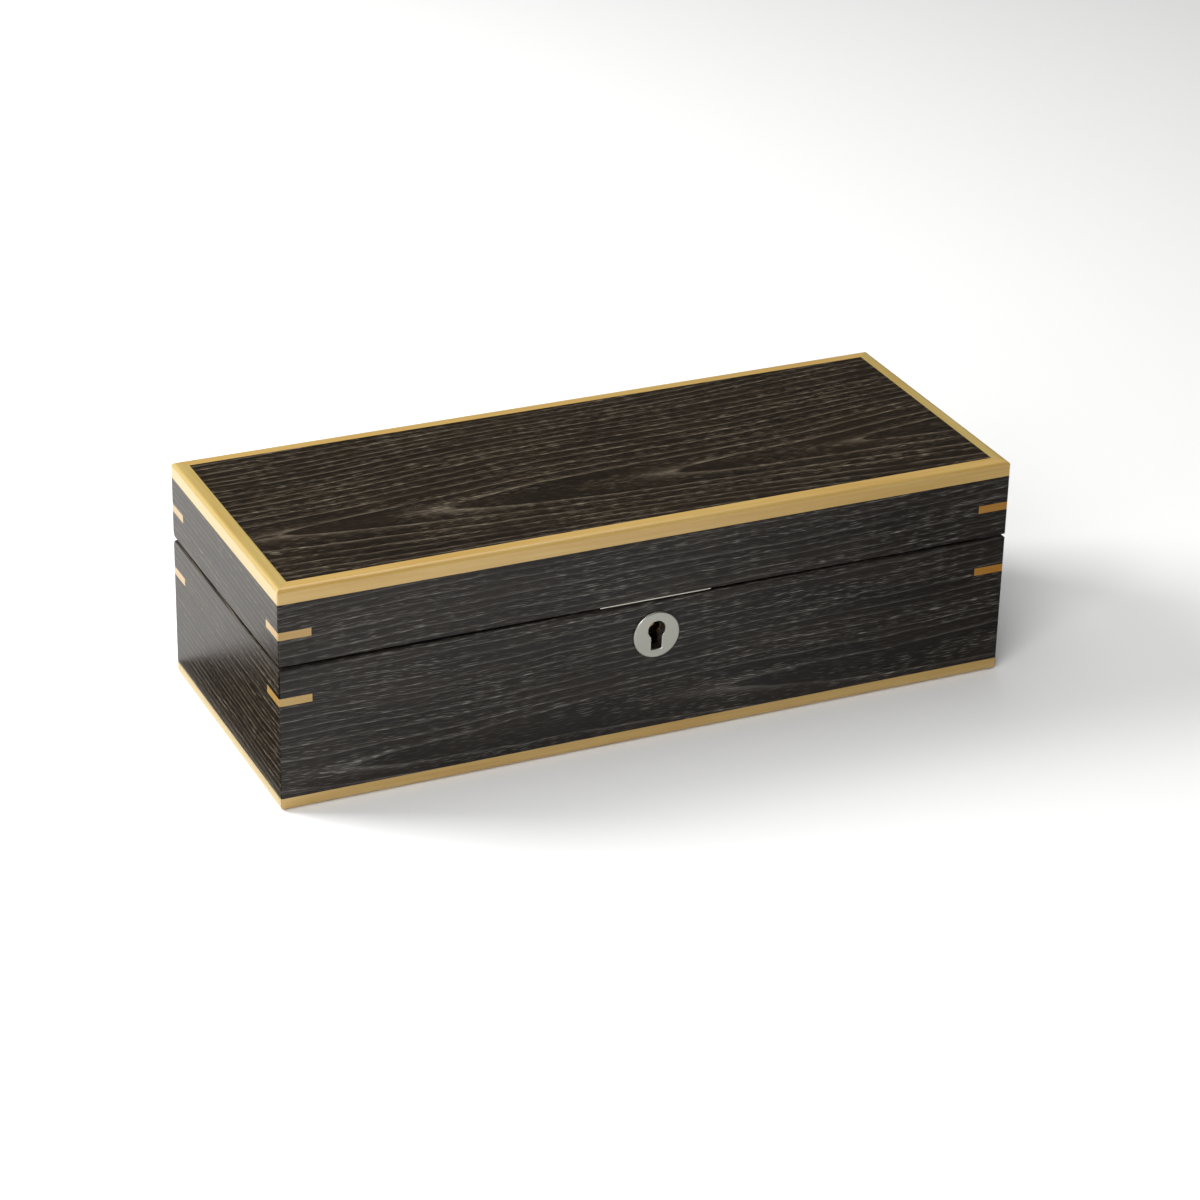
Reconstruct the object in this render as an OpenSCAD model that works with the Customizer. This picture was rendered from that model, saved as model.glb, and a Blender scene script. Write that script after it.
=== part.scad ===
// Lidded wooden case: a mitred base and lid in dark veneered board, maple edging
// round the top and the foot, maple keys across the corners, a warded box lock and
// two stop hinges let into chamfered back rims. Lined inside for five cushions.
// Millimetres. X runs along the case, the front faces -Y, Z is up and z = 0 is the
// underside. The origin is the middle of the underside.

/* [Overall] */
// Length of the case, left to right
box_l = 315; // [255:1:380]
// Width of the case, front to back
box_w = 124.5; // [100:0.5:150]
// Height of the base, underside to rim
base_h = 61.2; // [50:0.1:80]
// Height of the lid, rim to top
lid_h = 32.8; // [26:0.1:45]
// Shadow gap between the closed rims
seam_gap = 1; // [0.6:0.1:1.4]

/* [Walls] */
// Thickness of the base walls
wall_t = 10; // [9.5:0.1:13]
// Thickness of the veneered top panel and its edging
top_t = 6.4; // [4.5:0.1:8]
// Thickness of the bottom board and its edging
foot_t = 5.4; // [4:0.1:7]
// Width of the maple edging seen from above
edge_w = 5.8; // [4:0.1:8]
// Thickness of the felt on the underside
felt_t = 0.8; // [0.5:0.1:1.5]

/* [Corner keys] */
// Length of a key's leg on each face
key_leg = 13.4; // [9:0.1:16.2]
// Thickness of a key
key_t = 3.3; // [2:0.1:4.5]
// Depth of the lid keys below the top
lid_key_drop = 18; // [12:0.1:21]
// Depth of the base keys below the rim
base_key_drop = 12.3; // [8:0.1:20]

/* [Linings] */
// Thickness of a covered liner board
liner_t = 3; // [2:0.1:4]
// Height of the liner above the rim
upstand = 3.3; // [2:0.1:5]
// Gap between the liner's upstand and the lid wall
lid_clear = 0.5; // [0.3:0.1:0.8]
// Thickness of the floor lining
floor_t = 2; // [1:0.1:3]
// Thickness of the pad under the top
lid_pad_t = 3; // [2:0.1:5]
// Thickness of the fabric on the lid walls
lid_skin_t = 1; // [0.6:0.1:1.5]
// Gap between the upstand and that fabric
skin_clear = 1.5; // [1:0.1:3]

/* [Compartments] */
// Thickness of a divider
divider_t = 4; // [2.5:0.1:5]
// Depth of the dividers below the rim
divider_drop = 6; // [2:0.1:12]
// Gap at each side of a cushion
cushion_gap = 2.3; // [1.5:0.1:4]
// Gap in front of and behind a cushion
cushion_end_gap = 5.2; // [4.2:0.1:9]
// Depth of the cushion tops below the rim
cushion_drop = 9.8; // [6:0.1:20]
// Radius of a cushion's long edges
cushion_r = 9; // [5:0.5:12]

/* [Hinges] */
// Length of a hinge
hinge_l = 38; // [30:1:46]
// Distance from the case's end to the hinge's centre
hinge_inset = 60; // [45:1:70]
// Distance of the pivot inside the back face
pivot_in = 2.5; // [2:0.1:3]
// Radius of the barrel
barrel_r = 2.4; // [1.9:0.05:2.8]
// Gap round the barrel in the wood
barrel_clear = 0.35; // [0.3:0.05:0.6]
// Radius of the pin
pin_r = 0.9; // [0.7:0.05:1.1]
// Running clearance of the pin in the lid's knuckles
pin_clear = 0.05; // [0.02:0.01:0.09]
// Gap between knuckles
knuckle_gap = 0.3; // [0.2:0.05:0.4]
// Thickness of a leaf
leaf_t = 1.2; // [0.9:0.05:1.5]
// Wood left between a leaf and the inner face
leaf_margin = 1.5; // [1:0.1:2]
// Slope of the chamfer that stops the lid
stop_slope = 50; // [46:1:52]

/* [Screws] */
// Radius of a screw's head
screw_head_r = 1.5; // [1.2:0.05:1.7]
// Radius of a screw's shank
screw_r = 0.75; // [0.6:0.05:0.85]
// Length of a screw
screw_l = 7; // [5:0.5:9]

/* [Lock] */
// Length of the lock's face plate and of the keeper
plate_l = 48; // [46:0.5:60]
// Thickness of the face plate
plate_t = 1.5; // [1:0.1:2]
// Distance of the face plate inside the front face
plate_in = 1.2; // [1:0.1:2]
// Thickness of the keeper
keeper_t = 1.2; // [1:0.1:1.5]
// How far the keeper stands down from the lid's rim, where its edge shows in the seam
keeper_proud = 0.5; // [0.2:0.1:0.6]
// Distance of the keeper inside the front face
keeper_in = 0.8; // [0.6:0.1:1.5]
// Length of the lock case
case_l = 40; // [40:0.5:42]
// Depth of the lock below the rim
case_h = 30; // [29:0.5:40]
// Thickness of the lock, front to back
case_d = 7; // [6.6:0.1:7.4]
// Thickness of the lock's sheet metal
sheet_t = 1; // [0.8:0.05:1.2]
// Distance of each link from the middle
link_x = 10; // [9.5:0.1:10.5]
// Thickness of a link along the case
link_t = 2; // [1.6:0.1:2.2]
// Width of a link, front to back
link_w = 4.2; // [3.8:0.1:4.4]
// Length of a link below the lid's rim
link_l = 7; // [6.6:0.1:7.2]
// Width of a link's bars
link_bar = 1; // [0.8:0.05:1.1]
// Travel of the bolt
bolt_travel = 4; // [3.4:0.1:4.4]
// Thickness of the bolt
bolt_t = 1.6; // [1.2:0.1:1.8]
// Gap round moving lock parts
lock_clear = 0.4; // [0.3:0.05:0.5]
// Depth of the key's centre below the rim
key_drop = 12.2; // [12:0.1:13]
// Reach of the key's bit below its centre
key_reach = 8.5; // [8:0.1:9]
// Radius of the round part of the keyhole
key_hole_r = 3.7; // [3:0.1:4]
// Width of the slot of the keyhole
key_slot_w = 4.6; // [3:0.1:5]
// Radius of the drill pin
drill_r = 1.2; // [0.8:0.1:1.5]
// Distance of the drill pin's tip inside the front face
drill_in = 4.5; // [3:0.1:6]
// Radius of the escutcheon
scutcheon_r = 10; // [9.5:0.1:13]
// Thickness of the escutcheon
scutcheon_t = 1.2; // [0.8:0.1:2]
// Depth of the escutcheon's centre below the key's centre
scutcheon_drop = 2.2; // [1.8:0.1:2.6]

/* [Hidden] */
$fn = 64;

dark_oak = "#2e2824";
maple = "#d2ae6c";
lining = "#2a2a2c";
cushion_fabric = "#3a3a3c";
nickel = "#a3a49c";
brass = "#b08d4c";
eps = 0.01;
over = 5;

// Heights of the main faces
lid_z = base_h + seam_gap;
top_z = lid_z + lid_h;
lid_board_z = top_z - top_t;
pivot_z = base_h + seam_gap / 2;
pivot_y = box_w / 2 - pivot_in;
lid_wall_t = wall_t - lid_clear;

// Inside of the base and its compartments
slots = 5;
in_l = box_l - 2 * wall_t;
in_w = box_w - 2 * wall_t;
clear_l = in_l - 2 * liner_t;
clear_w = in_w - 2 * liner_t;
floor_z = foot_t + floor_t;
pitch = (clear_l + divider_t) / slots;
cushion_l = pitch - divider_t - 2 * cushion_gap;
cushion_w = clear_w - 2 * cushion_end_gap;
cushion_h = base_h - cushion_drop - floor_z;

// Hinges
hinge_x = box_l / 2 - hinge_inset;
knuckles = 5;
knuckle_l = hinge_l / knuckles;
leaf_y = box_w / 2 - wall_t + leaf_margin;
hinge_screw_y = (leaf_y + pivot_y - barrel_r - barrel_clear) / 2;
hinge_screw_pitch = hinge_l / 3;

// Lock: the case lies against the inner face of the front wall
front_y = -box_w / 2;
case_y1 = front_y + wall_t;
case_y0 = case_y1 - case_d;
case_z0 = base_h - case_h;
case_z1 = base_h - plate_t;
link_y = (case_y0 + case_y1) / 2;
plate_w = case_y1 - front_y - plate_in;
plate_screw_x = (plate_l / 2 + case_l / 2) / 2;
plate_screw_y = front_y + plate_in + plate_w / 2;
key_z = base_h - key_drop;
scutcheon_z = key_z - scutcheon_drop;
boss_r = 2;
boss_sink = 0.4;
boss_x = case_l / 2 - sheet_t - boss_r + boss_sink;
boss_z = case_z0 + sheet_t + boss_r - boss_sink;

// Bolt: its tongues stand clear of the links when drawn back, and pass them when shot
tip_spare = 0.2;
tip_gap = lock_clear + tip_spare;
tongue_h = 2;
tongue_l = bolt_travel + lock_clear - tip_gap;
tongue_clear = lock_clear - 0.1;
link_z = lid_z - link_l;
keeper_z = lid_z - keeper_proud;
window_z = link_z + link_bar;
window_h = tongue_h + 2 * tongue_clear;
tongue_z = window_z + tongue_clear;
// Inner and outer face of the right link
link_in = link_x - link_t / 2;
link_out = link_x + link_t / 2;
post_w = 2.6;
post_x0 = -link_out - tip_gap - tongue_l - post_w;
block_x0 = -link_in + tip_gap;
block_x1 = link_in - tip_gap - tongue_l;
block_z1 = tongue_z + tongue_h;
bar_h = 3.2;
bar_z1 = link_z - lock_clear;
bar_z0 = bar_z1 - bar_h;
bar_over = 3;
bar_x1 = link_out + bar_over;

// Key's cut at the bolt: it turns under the arch and bites in the talon
bite_short = 2.5;
bite_reach = key_reach - bite_short;
bite = 1;
arch_r = bite_reach - bite;
talon_w = 5;
talon_spare = 0.3;
talon_z = key_z + bite_reach + talon_spare;

// Guides under the bolt, outside the key's circle
guide_x = key_reach + 1;
guide_l = 4;
guide_h = 0.7;
guide_clear = 0.2;

// Bowed spring on the block
spring_t = 0.3;
spring_gap = 0.1;
spring_rise = case_z1 - spring_gap - spring_t - block_z1;
spring_inset = 0.4;
spring_half = (block_x1 - block_x0) / 2 - spring_inset;
spring_x = (block_x0 + block_x1) / 2;
spring_r = (pow(spring_half, 2) + pow(spring_rise, 2)) / (2 * spring_rise);

// ---- shapes shared by several pieces ----

// Plan of a mitred strip along the front of an l x w frame, t wide
module front_strip_plan(l, w, t) {
    polygon([
        [-l / 2, -w / 2],
        [l / 2, -w / 2],
        [l / 2 - t, -w / 2 + t],
        [-l / 2 + t, -w / 2 + t]
    ]);
}

// Plan of a mitred strip along the left end of an l x w frame, t wide
module left_strip_plan(l, w, t) {
    polygon([
        [-l / 2, -w / 2],
        [-l / 2 + t, -w / 2 + t],
        [-l / 2 + t, w / 2 - t],
        [-l / 2, w / 2]
    ]);
}

// One mitred strip of a frame the size of the case; side is front, back, left or right
module frame_strip(side, t, z, h) {
    translate([0, 0, z]) linear_extrude(h) {
        if (side == "front") front_strip_plan(box_l, box_w, t);
        if (side == "back") mirror([0, 1]) front_strip_plan(box_l, box_w, t);
        if (side == "left") left_strip_plan(box_l, box_w, t);
        if (side == "right") mirror([1, 0]) left_strip_plan(box_l, box_w, t);
    }
}

// Four triangular keys across the corners, undersides at height z
module corner_keys(z) {
    for (sx = [-1, 1], sy = [-1, 1])
        translate([sx * box_l / 2, sy * box_w / 2, z])
            linear_extrude(key_t)
                polygon([[0, 0], [-sx * key_leg, 0], [0, -sy * key_leg]]);
}

// Wedge cut off both back rims: its point is the pivot, its faces stop the open lid
module stop_wedge() {
    reach = pivot_in + over;
    rise = reach * tan(stop_slope);
    translate([-box_l / 2 - over, pivot_y, pivot_z])
        rotate([90, 0, 90])
            linear_extrude(box_l + 2 * over)
                polygon([[0, 0], [reach, -rise], [reach, rise]]);
}

// Cylinder along X, centred on x
module rod_x(x, y, z, r, l) {
    translate([x - l / 2, y, z]) rotate([0, 90, 0]) cylinder(r = r, h = l);
}

// Cylinder along Y from y to y + l
module rod_y(x, y, z, r, l) {
    translate([x, y, z]) rotate([-90, 0, 0]) cylinder(r = r, h = l);
}

// Countersunk shape, head face at z = 0 and shank pointing down
module screw_form(l) {
    rotate_extrude()
        polygon([
            [0, 0],
            [screw_head_r, 0],
            [screw_r, -(screw_head_r - screw_r)],
            [screw_r, -l],
            [0, -l]
        ]);
}

// Slotted countersunk screw
module screw(l) {
    slot_w = 0.4;
    slot_d = 0.35;
    difference() {
        screw_form(l);
        translate([-screw_head_r, -slot_w / 2, -slot_d]) cube([2 * screw_head_r, slot_w, 2 * slot_d]);
    }
}

// Block with four edges rounded along Y, standing on z = 0
module rounded_block(l, w, h, r) {
    translate([0, w / 2, 0]) rotate([90, 0, 0]) linear_extrude(w) {
        translate([-l / 2 + r, 0]) square([l - 2 * r, h]);
        translate([-l / 2, r]) square([l, h - 2 * r]);
        for (sx = [-1, 1], z = [r, h - r])
            translate([sx * (l / 2 - r), z]) circle(r = r);
    }
}

// ---- hinges ----

module hinge_at(sx) {
    translate([sx * hinge_x, 0, 0]) children();
}

module hinge_places() {
    for (sx = [-1, 1]) hinge_at(sx) children();
}

module hinge_screw_places() {
    for (i = [-1, 0, 1]) translate([i * hinge_screw_pitch, hinge_screw_y, 0]) children();
}

// Space cut in both back walls for the barrel
module barrel_recess() {
    hinge_places()
        rod_x(0, pivot_y, pivot_z, barrel_r + barrel_clear, hinge_l + 2 * barrel_clear);
}

// Leaf plate resting in a back wall, from z to z + h
module leaf_plate(z, h) {
    translate([-hinge_l / 2, leaf_y, z]) cube([hinge_l, pivot_y - leaf_y, h]);
}

// The base leaf has the knuckles at both ends and in the middle
function is_base_knuckle(i) = i % 2 == 0;

function knuckle_x(i) = -hinge_l / 2 + (i + 0.5) * knuckle_l;

// One leaf with its knuckles, for the base or for the lid
module hinge_leaf(in_base) {
    plate_z = in_base ? base_h - leaf_t : lid_z;
    bore_r = in_base ? pin_r : pin_r + pin_clear;
    color(nickel) difference() {
        union() {
            leaf_plate(plate_z, leaf_t);
            for (i = [0 : knuckles - 1])
                if (is_base_knuckle(i) == in_base)
                    rod_x(knuckle_x(i), pivot_y, pivot_z, barrel_r, knuckle_l - knuckle_gap);
        }
        for (i = [0 : knuckles - 1])
            if (is_base_knuckle(i) != in_base)
                rod_x(knuckle_x(i), pivot_y, pivot_z, barrel_r + barrel_clear, knuckle_l + knuckle_gap);
        rod_x(0, pivot_y, pivot_z, bore_r, hinge_l + 1);
        hinge_screw_places() leaf_screw_turn(in_base) screw_form(screw_l);
    }
}

// Places a screw on a leaf: down into the base, or up into the lid
module leaf_screw_turn(in_base) {
    translate([0, 0, in_base ? base_h : lid_z])
        rotate([in_base ? 0 : 180, 0, 0]) children();
}

module hinge_pin() {
    color(nickel) rod_x(0, pivot_y, pivot_z, pin_r, hinge_l - knuckle_gap);
}

module hinge_screws(in_base) {
    color(nickel)
        hinge_places() hinge_screw_places() leaf_screw_turn(in_base) screw(screw_l);
}

// ---- base ----

// Everything cut out of the base walls
module base_cuts() {
    stop_wedge();
    barrel_recess();
    hinge_places() leaf_plate(base_h - leaf_t, leaf_t + over);
    hinge_places() hinge_screw_places() leaf_screw_turn(true) screw_form(screw_l);
    corner_keys(base_h - base_key_drop - key_t);
}

module base_wall(side) {
    difference() {
        frame_strip(side, wall_t, foot_t, base_h - foot_t);
        base_cuts();
        if (side == "front") lock_mortise();
    }
}

module base_front_wall() { color(dark_oak) base_wall("front"); }
module base_back_wall() { color(dark_oak) base_wall("back"); }
module base_left_wall() { color(dark_oak) base_wall("left"); }
module base_right_wall() { color(dark_oak) base_wall("right"); }

module base_corner_keys() {
    color(maple) corner_keys(base_h - base_key_drop - key_t);
}

module base_bottom_panel() {
    color(dark_oak)
        translate([-box_l / 2 + edge_w, -box_w / 2 + edge_w, felt_t])
            cube([box_l - 2 * edge_w, box_w - 2 * edge_w, foot_t - felt_t]);
}

module underside_felt() {
    color(lining)
        translate([-box_l / 2 + edge_w, -box_w / 2 + edge_w, 0])
            cube([box_l - 2 * edge_w, box_w - 2 * edge_w, felt_t]);
}

module base_edging(side) {
    color(maple) frame_strip(side, edge_w, 0, foot_t);
}

// ---- linings and compartments ----

module liner_long(sy) {
    y = sy > 0 ? in_w / 2 - liner_t : -in_w / 2;
    color(lining)
        translate([-in_l / 2, y, foot_t]) cube([in_l, liner_t, base_h + upstand - foot_t]);
}

module liner_short(sx) {
    x = sx > 0 ? in_l / 2 - liner_t : -in_l / 2;
    color(lining)
        translate([x, -clear_w / 2, foot_t]) cube([liner_t, clear_w, base_h + upstand - foot_t]);
}

module floor_lining() {
    color(lining)
        translate([-clear_l / 2, -clear_w / 2, foot_t]) cube([clear_l, clear_w, floor_t]);
}

// Divider i stands between compartments i and i + 1
module divider(i) {
    color(lining)
        translate([-clear_l / 2 + i * pitch - divider_t, -clear_w / 2, floor_z])
            cube([divider_t, clear_w, base_h - divider_drop - floor_z]);
}

module cushion(i) {
    color(cushion_fabric)
        translate([-clear_l / 2 + (i - 0.5) * pitch - divider_t / 2, 0, floor_z])
            rounded_block(cushion_l, cushion_w, cushion_h, cushion_r);
}

// ---- lid ----

// Everything cut out of the lid walls
module lid_cuts() {
    stop_wedge();
    barrel_recess();
    hinge_places() leaf_plate(lid_z - over, leaf_t + over);
    hinge_places() hinge_screw_places() leaf_screw_turn(false) screw_form(screw_l);
    corner_keys(top_z - lid_key_drop - key_t);
}

module lid_wall(side) {
    difference() {
        frame_strip(side, lid_wall_t, lid_z, lid_board_z - lid_z);
        lid_cuts();
        if (side == "front") keeper_mortise();
    }
}

module lid_front_wall() { color(dark_oak) lid_wall("front"); }
module lid_back_wall() { color(dark_oak) lid_wall("back"); }
module lid_left_wall() { color(dark_oak) lid_wall("left"); }
module lid_right_wall() { color(dark_oak) lid_wall("right"); }

module lid_corner_keys() {
    color(maple) corner_keys(top_z - lid_key_drop - key_t);
}

module lid_top_panel() {
    color(dark_oak)
        translate([-box_l / 2 + edge_w, -box_w / 2 + edge_w, lid_board_z])
            cube([box_l - 2 * edge_w, box_w - 2 * edge_w, top_t]);
}

module lid_edging(side) {
    color(maple) frame_strip(side, edge_w, lid_board_z, top_t);
}

module lid_pad() {
    l = box_l - 2 * lid_wall_t;
    w = box_w - 2 * lid_wall_t;
    color(lining)
        translate([-l / 2, -w / 2, lid_board_z - lid_pad_t]) cube([l, w, lid_pad_t]);
}

// Fabric on the four lid walls, between the upstand and the pad
module lid_wall_linings() {
    l = box_l - 2 * lid_wall_t;
    w = box_w - 2 * lid_wall_t;
    z = base_h + upstand + skin_clear;
    h = lid_board_z - lid_pad_t - z;
    color(lining) {
        for (sy = [-1, 1])
            translate([-l / 2, sy * (w - lid_skin_t) / 2 - lid_skin_t / 2, z])
                cube([l, lid_skin_t, h]);
        for (sx = [-1, 1])
            translate([sx * (l - lid_skin_t) / 2 - lid_skin_t / 2, -w / 2 + lid_skin_t, z])
                cube([lid_skin_t, w - 2 * lid_skin_t, h]);
    }
}

// ---- lock ----

// Keyhole in plan of the front: round above, slot below
module keyhole_plan() {
    translate([0, key_z]) circle(r = key_hole_r);
    translate([-key_slot_w / 2, key_z - key_reach]) square([key_slot_w, key_reach]);
}

// Keyhole cut from y to y + l
module keyhole(y, l) {
    translate([0, y + l, 0]) rotate([90, 0, 0]) linear_extrude(l) keyhole_plan();
}

module plate_screw_places() {
    for (sx = [-1, 1]) translate([sx * plate_screw_x, plate_screw_y, 0]) children();
}

module face_plate_form() {
    translate([-plate_l / 2, front_y + plate_in, case_z1]) cube([plate_l, plate_w, plate_t]);
}

// Space for the lock in the front wall, open to the rim and to the inside
module lock_mortise() {
    translate([-plate_l / 2, front_y + plate_in, case_z1])
        cube([plate_l, plate_w + over, plate_t + over]);
    translate([-case_l / 2, case_y0, case_z0]) cube([case_l, case_d + over, case_h]);
    translate([0, 0, base_h]) plate_screw_places() screw_form(screw_l);
    keyhole(front_y - over, over + wall_t);
}

// Open-backed case with the keyhole, two guides for the bolt and two screw bosses
module lock_case() {
    in_d = case_d - 2 * sheet_t;
    color(brass) difference() {
        union() {
            difference() {
                translate([-case_l / 2, case_y0, case_z0])
                    cube([case_l, case_d - sheet_t, case_z1 - case_z0]);
                translate([-case_l / 2 + sheet_t, case_y0 + sheet_t, case_z0 + sheet_t])
                    cube([case_l - 2 * sheet_t, case_d, case_z1 - case_z0]);
            }
            for (sx = [-1, 1]) rod_y(sx * boss_x, case_y0 + sheet_t, boss_z, boss_r, in_d);
            for (x = [-guide_x - guide_l, guide_x])
                translate([x, case_y0 + sheet_t / 2, bar_z0 - guide_clear - guide_h])
                    cube([guide_l, in_d / 2 + bolt_t, guide_h]);
        }
        keyhole(case_y0 - over, over + 2 * sheet_t);
        for (sx = [-1, 1]) rod_y(sx * boss_x, case_y0 + sheet_t, boss_z, screw_r, in_d + 1);
    }
}

// Plate that closes the case, with the drill pin's hole and two countersunk holes
module lock_back_plate() {
    color(nickel) difference() {
        translate([-case_l / 2, case_y1 - sheet_t, case_z0])
            cube([case_l, sheet_t, case_z1 - case_z0]);
        rod_y(0, case_y1 - 2 * sheet_t, key_z, drill_r, 3 * sheet_t);
        case_screw_places() screw_form(case_d - sheet_t);
    }
}

module case_screw_places() {
    for (sx = [-1, 1]) translate([sx * boss_x, case_y1, boss_z]) rotate([-90, 0, 0]) children();
}

module lock_case_screws() {
    color(nickel) case_screw_places() screw(case_d - sheet_t);
}

// Pin that a hollow key slips over
module lock_drill_pin() {
    color(brass) rod_y(0, front_y + drill_in, key_z, drill_r, wall_t - drill_in);
}

module lock_face_plate() {
    slot_l = link_t + 2 * lock_clear;
    slot_w = link_w + 2 * lock_clear;
    color(nickel) difference() {
        face_plate_form();
        for (sx = [-1, 1])
            translate([sx * link_x - slot_l / 2, link_y - slot_w / 2, case_z1 - 1])
                cube([slot_l, slot_w, plate_t + 2]);
        translate([0, 0, base_h]) plate_screw_places() screw_form(screw_l);
    }
}

module lock_face_screws() {
    color(nickel) translate([0, 0, base_h]) plate_screw_places() screw(screw_l);
}

// Outline of the bolt: a bar, a block and a post, with one tongue for each link
module bolt_plan() {
    difference() {
        union() {
            translate([post_x0, bar_z0]) square([bar_x1 - post_x0, bar_h]);
            translate([post_x0, bar_z0]) square([post_w, block_z1 - bar_z0]);
            translate([post_x0, tongue_z]) square([post_w + tongue_l, tongue_h]);
            translate([block_x0, bar_z0]) square([block_x1 - block_x0, block_z1 - bar_z0]);
            translate([block_x0, tongue_z]) square([block_x1 - block_x0 + tongue_l, tongue_h]);
        }
        for (x = [0, -bolt_travel]) translate([x, key_z]) circle(r = arch_r);
        translate([-bolt_travel, key_z]) square([bolt_travel, arch_r]);
        translate([-(bolt_travel + talon_w) / 2, key_z]) square([talon_w, talon_z - key_z]);
    }
}

// Stands a plan in X and Z up as a plate, bolt_t thick, on the links' centre line
module bolt_plate() {
    translate([0, link_y + bolt_t / 2, 0])
        rotate([90, 0, 0]) linear_extrude(bolt_t) children();
}

module lock_bolt() {
    color(brass) bolt_plate() bolt_plan();
}

// Bowed strip on the bolt that rubs under the face plate and holds the bolt where it is put
module lock_bolt_spring() {
    crest = block_z1 + spring_rise + spring_t;
    outer_r = spring_r + spring_t;
    color(brass) bolt_plate() intersection() {
        difference() {
            translate([spring_x, crest - outer_r]) circle(r = outer_r, $fn = 128);
            translate([spring_x, crest - outer_r]) circle(r = spring_r, $fn = 128);
        }
        translate([spring_x - spring_half, block_z1])
            square([2 * spring_half, spring_rise + 2 * spring_t]);
    }
}

// Keeper plate half let into the lid's rim; the rest of its thickness stands down into the seam
module keeper_form() {
    translate([-plate_l / 2, front_y + keeper_in, keeper_z])
        cube([plate_l, lid_wall_t - keeper_in, keeper_t]);
}

module keeper_mortise() {
    translate([-plate_l / 2, front_y + keeper_in, lid_z - over])
        cube([plate_l, lid_wall_t - keeper_in + over, keeper_t - keeper_proud + over]);
    keeper_screw_places() screw_form(screw_l);
}

module keeper_screw_places() {
    translate([0, 0, keeper_z]) plate_screw_places() rotate([180, 0, 0]) children();
}

// Keeper plate with two links hanging from it; the bolt's tongues pass their windows
module keeper_plate() {
    window_w = link_w - 2 * link_bar;
    color(nickel) difference() {
        union() {
            keeper_form();
            for (sx = [-1, 1])
                translate([sx * link_x - link_t / 2, link_y - link_w / 2, link_z])
                    cube([link_t, link_w, link_l + eps]);
        }
        for (sx = [-1, 1])
            translate([sx * link_x - link_t, link_y - window_w / 2, window_z])
                cube([2 * link_t, window_w, window_h]);
        keeper_screw_places() screw_form(screw_l);
    }
}

module keeper_screws() {
    color(nickel) keeper_screw_places() screw(screw_l);
}

// Round plate on the front, its outer arris rounded
module escutcheon() {
    arris = scutcheon_t / 2;
    color(nickel) difference() {
        translate([0, front_y, scutcheon_z]) rotate([90, 0, 0]) rotate_extrude() {
            square([scutcheon_r, scutcheon_t - arris]);
            square([scutcheon_r - arris, scutcheon_t]);
            translate([scutcheon_r - arris, scutcheon_t - arris]) circle(r = arris);
        }
        keyhole(front_y - over, over + eps);
    }
}

base_front_wall();
base_back_wall();
base_left_wall();
base_right_wall();
base_bottom_panel();
base_corner_keys();
underside_felt();
base_edging("front");  // base_edging_front
base_edging("back");  // base_edging_back
base_edging("left");  // base_edging_left
base_edging("right");  // base_edging_right
liner_long(-1);  // liner_front
liner_long(1);  // liner_back
liner_short(-1);  // liner_left
liner_short(1);  // liner_right
floor_lining();
divider(1);  // divider_1
divider(2);  // divider_2
divider(3);  // divider_3
divider(4);  // divider_4
cushion(1);  // cushion_1
cushion(2);  // cushion_2
cushion(3);  // cushion_3
cushion(4);  // cushion_4
cushion(5);  // cushion_5
lid_front_wall();
lid_back_wall();
lid_left_wall();
lid_right_wall();
lid_top_panel();
lid_corner_keys();
lid_edging("front");  // lid_edging_front
lid_edging("back");  // lid_edging_back
lid_edging("left");  // lid_edging_left
lid_edging("right");  // lid_edging_right
lid_pad();
lid_wall_linings();
hinge_at(-1) hinge_leaf(true);  // hinge_left_base_leaf
hinge_at(1) hinge_leaf(true);  // hinge_right_base_leaf
hinge_at(-1) hinge_leaf(false);  // hinge_left_lid_leaf
hinge_at(1) hinge_leaf(false);  // hinge_right_lid_leaf
hinge_at(-1) hinge_pin();  // hinge_left_pin
hinge_at(1) hinge_pin();  // hinge_right_pin
hinge_screws(true);  // hinge_base_screws
hinge_screws(false);  // hinge_lid_screws
lock_case();
lock_back_plate();
lock_case_screws();
lock_drill_pin();
lock_face_plate();
lock_face_screws();
lock_bolt();
lock_bolt_spring();
keeper_plate();
keeper_screws();
escutcheon();
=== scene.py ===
import math

import bmesh
import bpy
from mathutils import Matrix, Quaternion, Vector


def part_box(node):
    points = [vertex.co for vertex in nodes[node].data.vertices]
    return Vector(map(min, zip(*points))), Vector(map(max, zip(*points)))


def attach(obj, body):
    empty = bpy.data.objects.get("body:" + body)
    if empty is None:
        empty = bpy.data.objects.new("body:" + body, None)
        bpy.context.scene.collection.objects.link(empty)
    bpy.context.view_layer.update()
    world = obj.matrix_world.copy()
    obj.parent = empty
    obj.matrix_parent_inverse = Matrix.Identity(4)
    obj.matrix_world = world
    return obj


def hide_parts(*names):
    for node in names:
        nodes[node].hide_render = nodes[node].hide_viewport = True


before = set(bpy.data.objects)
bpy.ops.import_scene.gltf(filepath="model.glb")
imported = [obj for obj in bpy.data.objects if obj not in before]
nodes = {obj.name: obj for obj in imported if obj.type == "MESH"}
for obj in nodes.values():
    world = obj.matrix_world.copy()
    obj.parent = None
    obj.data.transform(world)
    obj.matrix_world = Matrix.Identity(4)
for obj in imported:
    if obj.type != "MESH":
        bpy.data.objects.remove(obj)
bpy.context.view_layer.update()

MM = 0.001


# ---- The table it stands on, the light and the camera ----
# A white sweep lit by three soft boxes: one in front and above, one overhead and one
# at the left. Nothing bright stands behind the case, so its dark top stays dark.
scene = bpy.context.scene
scene.view_settings.view_transform = "Standard"


def colour(hex_code):
    """An sRGB hex colour as linear red, green, blue and alpha."""
    out = []
    for i in (1, 3, 5):
        c = int(hex_code[i:i + 2], 16) / 255
        out.append(c / 12.92 if c <= 0.04045 else ((c + 0.055) / 1.055) ** 2.4)
    return (*out, 1.0)


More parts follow.
